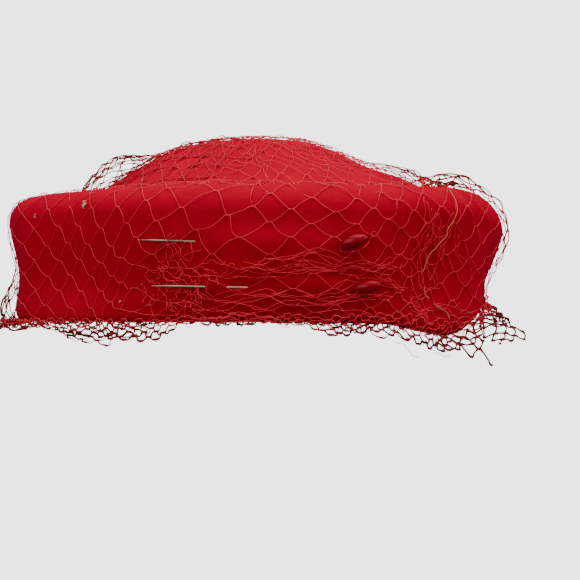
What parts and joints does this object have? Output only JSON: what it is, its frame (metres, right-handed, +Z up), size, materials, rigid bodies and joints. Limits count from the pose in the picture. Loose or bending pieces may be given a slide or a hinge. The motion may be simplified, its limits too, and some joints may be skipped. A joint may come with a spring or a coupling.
{
  "type": "pillbox hat",
  "caption": "Oval felt pillbox hat with an upright side, rounded shoulder and raised dome, a net veil draped over it and drop-headed hat pins.",
  "frame": {"origin": "centre of the head opening, level with the felt's lower edge", "axes": "+Z up through the dome, +X the hat's right seen from the side with the pins, -Y towards that side"},
  "size_m": [0.2239, 0.2035, 0.1034],
  "materials": {
    "felt": "smooth red wool felt",
    "net": "thin red veiling thread",
    "pin_steel": "polished steel wire",
    "pin_head_red": "glossy dark red bead"
  },
  "bodies": {
    "root": {"felt_body": "felt", "veil_net": "net", "pin_shank_upper": "pin_steel", "pin_shank_lower": "pin_steel", "pin_head_upper": "pin_head_red", "pin_head_lower": "pin_head_red"}
  },
  "joints": []
}
